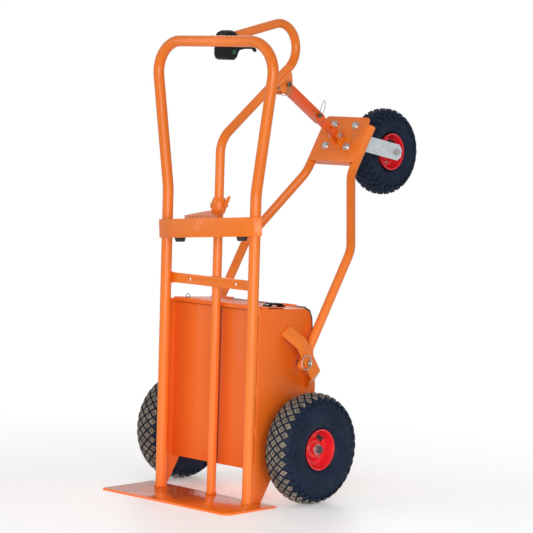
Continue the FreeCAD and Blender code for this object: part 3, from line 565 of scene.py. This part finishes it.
class TyreSection:
    """The rounded section of a tyre: a squared ellipse from bead to bead."""

    def __init__(self, radius, width, bead_radius):
        self.crown = radius - BLOCK_HEIGHT
        self.half_width = width / 2 - 1.5 * MM
        self.middle = (self.crown + bead_radius) / 2
        self.half_height = (self.crown - bead_radius) / 2
        self.arcs = self.measure_arcs()

    def point(self, angle):
        """(across, radius) at an angle from the widest point up to the crown at 90 degrees."""
        c, s = math.cos(angle), math.sin(angle)
        across = self.half_width * math.copysign(abs(c) ** SECTION_POWER, c)
        height = self.half_height * math.copysign(abs(s) ** SECTION_POWER, s)
        return across, self.middle + height

    def normal(self, angle):
        step = 0.01
        low, high = self.point(angle - step), self.point(angle + step)
        run, rise = high[0] - low[0], high[1] - low[1]
        length = math.hypot(run, rise)
        return rise / length, -run / length

    def measure_arcs(self):
        """Pairs of (arc length from the crown's middle, section angle) down one side."""
        pairs = [(0.0, math.pi / 2)]
        before = self.point(math.pi / 2)
        for step in range(1, 281):
            angle = math.pi / 2 - math.radians(step * 0.5)
            point = self.point(angle)
            length = pairs[-1][0] + math.hypot(point[0] - before[0], point[1] - before[1])
            pairs.append((length, angle))
            before = point
        return pairs

    def angle_at(self, arc):
        """The section angle at an arc length from the crown's middle."""
        for (low, low_angle), (high, high_angle) in zip(self.arcs, self.arcs[1:]):
            if abs(arc) <= high:
                share = (abs(arc) - low) / (high - low)
                angle = low_angle + (high_angle - low_angle) * share
                return angle if arc >= 0 else math.pi - angle
        raise ValueError("arc beyond the bead")


def carcass_profile(section, bead_half):
    """The closed section of the tyre's body, with two fine ribs on each sidewall."""
    outer = []
    steps = 72
    start, end = SIDEWALL_SWEEP
    for step in range(steps + 1):
        angle = math.radians(start + (end - start) * step / steps)
        across, radius = section.point(angle)
        nx, nr = section.normal(angle)
        level = (radius - section.middle) / section.half_height
        on_rib = any(abs(level - middle) < half for middle, half in SIDE_RIBS)
        rib = RIB_HEIGHT if on_rib else 0.0
        outer.append((across + nx * rib, radius + nr * rib))
    low = min(point[1] for point in outer)
    bead = low - 2 * MM
    return outer + [(-bead_half, bead), (bead_half, bead)]


def add_block(bm, surface, place, corners, size, height, dimple=0.0, top=0):
    """A tread block: a bevelled pad that stands out of the carcass, with an optional dimple."""
    levels = [(-BLOCK_SINK, 1.0), (height - BLOCK_BEVEL, 0.97), (height, 0.90), (height, 0.55),
              (height, 0.24), (height - dimple, 0.16)]
    rings = []
    for out, scale in levels:
        ring = []
        for a, t in corners:
            arc = place[0] + a * size[0] * scale
            turn = place[1] + t * size[1] * scale
            ring.append(bm.verts.new(surface(arc, turn, out)))
        rings.append(ring)
    for index, (low, high) in enumerate(zip(rings, rings[1:])):
        for side in range(4):
            after = (side + 1) % 4
            face = bm.faces.new((low[side], low[after], high[after], high[side]))
            face.material_index = top if index >= 1 else 0
    bm.faces.new(rings[-1])


def make_tyre(node, centre, width, count, bead_radius, dusty_rows):
    """A block-tread tyre: carcass, staggered rows of diamond blocks, shoulder lugs and side marks."""
    low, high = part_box(node)
    radius = (high.z - low.z) / 2
    section = TyreSection(radius, width, bead_radius)
    bm = bmesh.new()
    add_lathe(bm, centre, X_AXIS, carcass_profile(section, width * 0.20), 120)
    first, second = frame_across(X_AXIS)

    def surface(arc, turn, out):
        angle = section.angle_at(arc)
        across, ring = section.point(angle)
        nx, nr = section.normal(angle)
        spoke = first * math.cos(turn) + second * math.sin(turn)
        return centre + X_AXIS * (across + nx * out) + spoke * (ring + nr * out)

    pitch = 2 * math.pi / count
    half_turn = BLOCK_HALF / section.crown
    middle_row = (BLOCK_ROWS - 1) / 2
    for row in range(BLOCK_ROWS):
        arc = (row - middle_row) * ROW_GAP
        top = 1 if abs(row - middle_row) < dusty_rows / 2 else 0
        stagger = 0.5 if row % 2 else 0.0
        for step in range(count):
            place = (arc, (step + stagger) * pitch)
            add_block(bm, surface, place, DIAMOND, (BLOCK_HALF, half_turn),
                      BLOCK_HEIGHT - 0.3 * MM, DIMPLE, top)
    shoulder = (middle_row + 1) * ROW_GAP - 1 * MM
    for side in (-1, 1):
        for step in range(count):
            turn = (step + 0.5) * pitch
            add_block(bm, surface, (side * shoulder, turn), SQUARE,
                      (SHOULDER_HALF, pitch * 0.31), SHOULDER_HEIGHT)
            add_block(bm, surface, (side * (shoulder + SIDE_LUG_STEP), turn), SQUARE,
                      (SIDE_LUG_HALF, pitch * 0.20), SIDE_LUG_HEIGHT)
        for group in range(MARK_GROUPS):
            for mark in range(MARKS_IN_GROUP):
                turn = math.radians(group * 360 / MARK_GROUPS + mark * 6.5)
                add_block(bm, surface, (side * (shoulder + MARK_STEP), turn), SQUARE,
                          (MARK_HALF, MARK_HALF_TURN), MARK_HEIGHT)
    piece = add_piece(node + "_tread", bm, [TYRE, DUST], node_body[node])
    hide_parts(node)
    return piece


# ---------------------------------------------------------------- rims
# one half of a rim's section as (across, radius) in millimetres, from the lip in to the hub
RIM_FACE = ((27, 50.6), (31, 52.9), (33.2, 55.2), (35, 55.5), (35.8, 53.8), (34.6, 51.4), (30, 49.0),
            (22, 47.6), (14, 46.2), (9.5, 43.5), (8, 40), (8, 33), (9.0, 29.5), (12.0, 27.2), (14.5, 24.8),
            (15.5, 21.5), (15.5, 15.5))


def make_rim(node, centre, scale, hub_length, shaft_radius):
    """A pressed steel rim: rolled lips, dished faces, round hub boss and hub sleeve."""
    face = [(across * MM, radius * scale * MM) for across, radius in RIM_FACE]
    face += [(hub_length - 1.0 * MM, 13.6 * MM), (hub_length, 12.6 * MM), (hub_length, shaft_radius)]
    profile = face + [(-across, radius) for across, radius in reversed(face)]
    bm = bmesh.new()
    add_lathe(bm, centre, X_AXIS, profile, 96)
    piece = add_piece(node + "_pressed", bm, [RED], node_body[node])
    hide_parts(node)
    return piece


VALVE_ANGLE = math.radians(50)
VALVE_RADIUS = 35.5 * MM
VALVE_OUT = 9.5 * MM
WINDOW_HALF = (11.5 * MM, 6.2 * MM)
WINDOW_DEPTH = 4 * MM
STEM_STEP = 4 * MM
STEM_RADII = (3.8 * MM, 3.4 * MM, 3.2 * MM, 2.6 * MM)


def make_valve(name, centre, axis, outward, body):
    """The black valve window in the dish, with its stem and cap."""
    bm = bmesh.new()
    spoke = Y_AXIS * math.cos(VALVE_ANGLE) + Z_AXIS * math.sin(VALVE_ANGLE)
    spoke = (spoke - axis * spoke.dot(axis)).normalized()
    along = axis.cross(spoke)
    middle = centre + spoke * VALVE_RADIUS + axis * (outward * VALVE_OUT)
    corners = []
    for depth in (-WINDOW_DEPTH, 0.0):
        for a, s in SQUARE:
            corners.append(bm.verts.new(middle + along * (a * WINDOW_HALF[0]) + spoke * (s * WINDOW_HALF[1])
                                        + axis * (outward * depth)))
    low, high = corners[:4], corners[4:]
    bm.faces.new(low)
    bm.faces.new(high)
    for side in range(4):
        after = (side + 1) % 4
        bm.faces.new((low[side], low[after], high[after], high[side]))
    sharp = list(bm.edges)
    bmesh.ops.bevel(bm, geom=sharp, offset=1.6 * MM, segments=3, profile=0.5, affect="EDGES")
    stem = [middle + axis * (outward * step * STEM_STEP) + spoke * (step * 0.6 * MM)
            for step in range(len(STEM_RADII))]
    add_tube(bm, stem, lambda index: STEM_RADII[index], 12)
    return add_piece(name, bm, [RUBBER], body)


def make_wheels():
    for side, sign in SIDES:
        centre = joint_place(side + "_wheel_spin")
        low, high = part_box(side + "_tyre")
        make_tyre(side + "_tyre", centre, high.x - low.x, 35, 47.5 * MM, BLOCK_ROWS)
        make_rim(side + "_rim", centre, 1.0, 22 * MM, 10 * MM)
        make_valve(side + "_valve", centre, X_AXIS, sign, side + "_wheel")
        softened(side + "_rim_bolts", 0.6 * MM)
        softened(side + "_axle_nut", 0.8 * MM)
    centre = joint_place("caster_wheel_spin")
    low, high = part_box("caster_tyre")
    make_tyre("caster_tyre", centre, high.x - low.x, 29, 45.5 * MM, 0)
    make_rim("caster_rim", centre, 0.955, 36 * MM, 6.3 * MM)
    make_valve("caster_valve", centre, X_AXIS, 1, "caster_wheel")
    softened("caster_rim_bolts", 0.6 * MM)


# ---------------------------------------------------------------- welds
RIPPLE_COUNT = 400
PUDDLE_STEP = 1.6 * MM
BEAD = 2.6 * MM
FINE_BEAD = 2.2 * MM


def bead_radius_at(size):
    """The ripple of a weld bead: each puddle swells and narrows a little, unevenly."""
    swell = random.Random(11)
    values = []
    for index in range(RIPPLE_COUNT):
        values.append(size * (0.82 + 0.26 * abs(math.sin(index * 1.05)) + 0.10 * swell.random()))
    return lambda index: values[index % RIPPLE_COUNT]


def add_bead(bm, start, end, size=BEAD):
    length = (end - start).length
    count = max(4, int(length / PUDDLE_STEP))
    points = [start.lerp(end, index / (count - 1)) for index in range(count)]
    add_tube(bm, points, bead_radius_at(size), 8)


def add_ring_bead(bm, centre, axis, radius, size):
    first, second = frame_across(axis)
    count = max(8, int(radius * 2 * math.pi / PUDDLE_STEP))
    points = []
    for index in range(count):
        angle = 2 * math.pi * index / count
        points.append(centre + (first * math.cos(angle) + second * math.sin(angle)) * radius)
    add_tube(bm, points, bead_radius_at(size), 8, True)


UPRIGHT_X = 167 * MM
STITCH_HEIGHTS = (30 * MM, 90 * MM, 190 * MM, 300 * MM, 410 * MM, 510 * MM)


def make_frame_welds():
    """Beads where tubes, plates and panels of the main frame meet."""
    bm = bmesh.new()
    upright_low, upright_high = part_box("right_upright")
    tube_radius = (upright_high.y - upright_low.y) / 2
    top_bar_z = upright_high.z - tube_radius
    plate_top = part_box("toe_plate")[1].z
    crossbar_low, crossbar_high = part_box("crossbar")
    spine_low, spine_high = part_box("centre_tube")
    spine_radius = (spine_high.x - spine_low.x) / 2
    spine_y = spine_low.y + spine_radius
    foot_z = plate_top + 1 * MM
    for sign in (-1, 1):
        foot = Vector((sign * UPRIGHT_X, 0, foot_z))
        add_ring_bead(bm, foot, Z_AXIS, tube_radius + 0.6 * MM, 2.4 * MM)
        end_x = sign * (UPRIGHT_X - tube_radius * 0.5)
        for z in (crossbar_low.z, crossbar_high.z):
            start = Vector((end_x, crossbar_low.y, z))
            add_bead(bm, start, start - X_AXIS * (sign * 8 * MM), FINE_BEAD)
        edge_x = sign * (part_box("right_side_panel")[1].x - 1 * MM)
        for height in STITCH_HEIGHTS:
            start = Vector((edge_x, 8.5 * MM, height))
            add_bead(bm, start, start + Z_AXIS * (20 * MM), FINE_BEAD)
    add_ring_bead(bm, Vector((0, spine_y, foot_z)), Z_AXIS, spine_radius + 0.6 * MM, FINE_BEAD)
    for z in (crossbar_low.z, crossbar_high.z):
        start = Vector((-8 * MM, crossbar_high.y + 0.8 * MM, z))
        add_bead(bm, start, start + X_AXIS * (16 * MM), 2 * MM)
    add_ring_bead(bm, Vector((-10 * MM, 0, top_bar_z)), X_AXIS, tube_radius - 0.2 * MM, 0.9 * MM)
    return add_piece("frame_welds", bm, [PAINT], "frame")


def a_frame_axes():
    """The A-frame's plate normal, and the direction up its legs."""
    normal = joint_axis("caster_swivel")
    return normal, X_AXIS.cross(normal).normalized()


PLATE_STITCHES = ((-80 * MM, -48 * MM), (-22 * MM, 10 * MM), (20 * MM, 40 * MM))


def make_a_frame_welds():
    """Beads along the caster plate's two edges and beside the stay lug's ears."""
    bm = bmesh.new()
    normal, up = a_frame_axes()
    centre = joint_place("caster_swivel")
    half_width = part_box("caster_plate")[1].x
    for sign in (-1, 1):
        side = centre + X_AXIS * (sign * half_width) - normal * (12.5 * MM)
        for low, high in PLATE_STITCHES:
            add_bead(bm, side + up * low, side + up * high)
    for sign in (-1, 1):
        foot = joint_place("stay_fold") + X_AXIS * (sign * 15 * MM) + normal * (17.4 * MM)
        add_bead(bm, foot - up * (21 * MM), foot + up * (21 * MM), 2 * MM)
    return add_piece("a_frame_welds", bm, [PAINT], "a_frame")


# ---------------------------------------------------------------- wires
def arc_points(centre, first, second, radius, start, end, count):
    points = []
    for index in range(count):
        angle = math.radians(start + (end - start) * index / (count - 1))
        points.append(centre + (first * math.cos(angle) + second * math.sin(angle)) * radius)
    return points


def oval_points(base, along, across, length, half_width):
    """A long closed loop that starts and ends at its base."""
    count = 40
    points = []
    for index in range(count):
        angle = 2 * math.pi * index / count
        reach = length / 2 * (1 - math.cos(angle))
        points.append(base + along * reach + across * (half_width * math.sin(angle)))
    return points


def add_wire_ring(bm, centre, axis, radius, size):
    """A closed wire ring of even thickness."""
    first, second = frame_across(axis)
    points = arc_points(centre, first, second, radius, 0, 360 * 47 / 48, 48)
    add_tube(bm, points, lambda index: size, 10, True)


def make_wire_piece(name, bm, body):
    return add_piece(name, bm, [WIRE], body)


def pin_head(node):
    """The middle of a cross pin's right end."""
    low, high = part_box(node)
    middle = (low + high) / 2
    return Vector((high.x + 0.5 * MM, middle.y, middle.z))


WIRE_RADIUS = 0.9 * MM
TOP_LOOP_LENGTH = 46 * MM
TOP_LOOP_HALF_WIDTH = 7.5 * MM
TOP_BAIL_RADIUS = 19 * MM
LOCK_LOOP_LENGTH = 50 * MM
LOCK_LOOP_HALF_WIDTH = 7 * MM
LOCK_BAIL_RADIUS = 23.5 * MM


def make_top_pin_bail():
    """A long loop that hangs from the top pin's head, and an open ring behind it."""
    bm = bmesh.new()
    head = pin_head("stay_top_pin")
    hang = Vector((0, -0.10, -1)).normalized()
    across = Vector((0, 1, -0.1))
    loop = oval_points(head - hang * (10 * MM), hang, across, TOP_LOOP_LENGTH, TOP_LOOP_HALF_WIDTH)
    add_tube(bm, loop, lambda index: WIRE_RADIUS, 8, True)
    ring_centre = head + Vector((1 * MM, -26 * MM, -12 * MM))
    ring = arc_points(ring_centre, Y_AXIS, Z_AXIS, TOP_BAIL_RADIUS, 150, 372, 28)
    add_tube(bm, ring, lambda index: WIRE_RADIUS, 8)
    return make_wire_piece("top_pin_bail", bm, "stay_top_pin")


def make_lock_pin_bail():
    """A long loop that stands up from the lock pin's head, and an open ring under the stay."""
    bm = bmesh.new()
    head = pin_head("stay_lock_pin")
    stay_along = joint_axis("stay_slide")
    stay_up = X_AXIS.cross(stay_along).normalized()
    rise = Vector((0, 0.34, 0.94)).normalized()
    across = X_AXIS.cross(rise)
    loop = oval_points(head - rise * (6 * MM), rise, across, LOCK_LOOP_LENGTH, LOCK_LOOP_HALF_WIDTH)
    add_tube(bm, loop, lambda index: WIRE_RADIUS, 8, True)
    ring = arc_points(head - stay_along * (4 * MM), stay_along, stay_up, LOCK_BAIL_RADIUS, 172, 352, 28)
    add_tube(bm, ring, lambda index: WIRE_RADIUS, 8)
    return make_wire_piece("lock_pin_bail", bm, "stay_lock_pin")


# ---------------------------------------------------------------- box trim and small fittings
# (y, z) along the back upper corner of a side panel
TRIM_ROUTE = ((188 * MM, 519 * MM), (205 * MM, 511.8 * MM), (214.5 * MM, 492 * MM), (220 * MM, 443 * MM))
TRIM_RADIUS = 2.4 * MM
TRIM_STEPS = 6


def make_edge_trim():
    """Black rubber edging over the side panels' rounded back corner."""
    bm = bmesh.new()
    panel_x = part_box("right_side_panel")[1].x - 1 * MM
    for sign in (-1, 1):
        corners = [Vector((sign * panel_x, y, z)) for y, z in TRIM_ROUTE]
        points = []
        for start, end in zip(corners, corners[1:]):
            points += [start.lerp(end, step / TRIM_STEPS) for step in range(TRIM_STEPS)]
        points.append(corners[-1])
        add_tube(bm, points, lambda index: TRIM_RADIUS, 10)
    return add_piece("panel_edge_trim", bm, [RUBBER], "frame")


SEAM_SHADE_RADIUS = 3 * MM


def make_seam_shade_strip():
    """A dark rubber strip in the seam between the two front sheets: painted shade for the dark gap."""
    low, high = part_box("front_panel")
    bm = bmesh.new()
    foot = Vector((-4 * MM, low.y + 0.8 * MM, low.z + 2 * MM))
    top = Vector((foot.x, foot.y, high.z - 2 * MM))
    steps = 12
    points = [foot.lerp(top, step / steps) for step in range(steps + 1)]
    add_tube(bm, points, lambda index: SEAM_SHADE_RADIUS, 10)
    return add_piece("seam_shade_strip", bm, [RUBBER], "frame")


LID_RING_RADIUS = 5.5 * MM


def make_lid_ring():
    """A small wire ring that stands at the lid's front left corner."""
    low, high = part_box("lid")
    bm = bmesh.new()
    centre = Vector((low.x * 0.765, low.y + 12 * MM, high.z + 4.5 * MM))
    add_wire_ring(bm, centre, Vector((0.35, -1.0, 0.0)).normalized(), LID_RING_RADIUS, 1 * MM)
    return add_piece("lid_ring", bm, [STEEL], "lid")


def in_millimetres(profile):
    """A lathe outline written in millimetres, turned into metres."""
    return [(along * MM, radius * MM) for along, radius in profile]


DOME_SCREW = in_millimetres(((-1, 0), (-1, 5.2), (0.8, 4.8), (2.2, 2.8), (2.6, 0)))
COVER_SCREW = in_millimetres(((-1, 0), (-1, 3.6), (0.8, 3.2), (1.4, 1.8), (1.4, 0)))
WASHER = in_millimetres(((-1.6, 5.6), (-1.6, 11.2), (-1.0, 11.8), (0.2, 11.8), (0.2, 5.6)))


def make_handle_screws():
    """Domed screws at the ends of the lid's strap handle."""
    low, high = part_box("lid_handle")
    bm = bmesh.new()
    x = (low.x + high.x) / 2
    for y, z in ((low.y + 6 * MM, high.z - 5.5 * MM), (high.y - 6 * MM, low.z + 4.5 * MM)):
        add_lathe(bm, Vector((x, y, z)), Z_AXIS, DOME_SCREW, 24)
    return add_piece("lid_handle_screws", bm, [ZINC], "lid")


def make_bolt_washers():
    """Round washers under the heads of the four caster bolts."""
    normal, up = a_frame_axes()
    centre = joint_place("caster_swivel")
    bm = bmesh.new()
    front = centre - normal * (16.5 * MM)
    for x in (-40 * MM, 40 * MM):
        for rise in (-35 * MM, 35 * MM):
            add_lathe(bm, front + X_AXIS * x + up * rise, normal, WASHER, 36)
    return add_piece("caster_washers", bm, [ZINC], "a_frame")


# ---------------------------------------------------------------- hand control
def make_control_details():
    """Cover screws on the switch housing."""
    low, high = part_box("control_housing")
    bm = bmesh.new()
    for sign in (-1, 1):
        for y in (low.y + 10 * MM, high.y - 10 * MM):
            spot = Vector((sign * high.x, y, high.z - 14 * MM))
            add_lathe(bm, spot, X_AXIS * sign, COVER_SCREW, 20)
    return add_piece("control_details", bm, [PLASTIC], "frame")


# ---------------------------------------------------------------- build
# how far the edges of each CAD node are rounded, in millimetres
EDGE_WIDTH = {
    "crossbar": 1,
    "stay_bracket": 1,
    "right_side_panel": 0.5,
    "left_side_panel": 0.5,
    "front_panel": 0.5,
    "rear_cover": 0.6,
    "lid": 0.6,
    "lid_handle": 1.2,
    "caster_plate": 1.2,
    "stay_lug": 1,
    "lug_bolt": 0.7,
    "caster_bolts": 0.8,
    "caster_top_plate": 0.8,
    "caster_fork": 1,
    "caster_axle": 0.8,
    "stay_outer_tube": 1.2,
    "stay_inner_tube": 1,
    "stay_top_pin": 0.8,
    "stay_lock_pin": 0.8,
    "height_band": 1.2,
    "band_arms": 0.8,
    "band_collar": 2.2,
    "wing_bolt": 1.2,
    "right_leg_bracket": 1.2,
    "left_leg_bracket": 1.2,
    "control_lever": 1.6,
    "control_lamp": 0.4,
    "band_buffers": 0.8,
}

make_camera()
make_world()
make_lights()
make_floor()
dress_cad_nodes()
make_wheels()
softened("toe_plate", 1.2 * MM, material=LIT_PLATE_PAINT)
softened("control_housing", 6.5 * MM, segments=5)
for node, width in EDGE_WIDTH.items():
    softened(node, width * MM)
make_frame_welds()
make_a_frame_welds()
make_top_pin_bail()
make_lock_pin_bail()
make_edge_trim()
make_seam_shade_strip()
make_lid_ring()
make_handle_screws()
make_bolt_washers()
make_control_details()
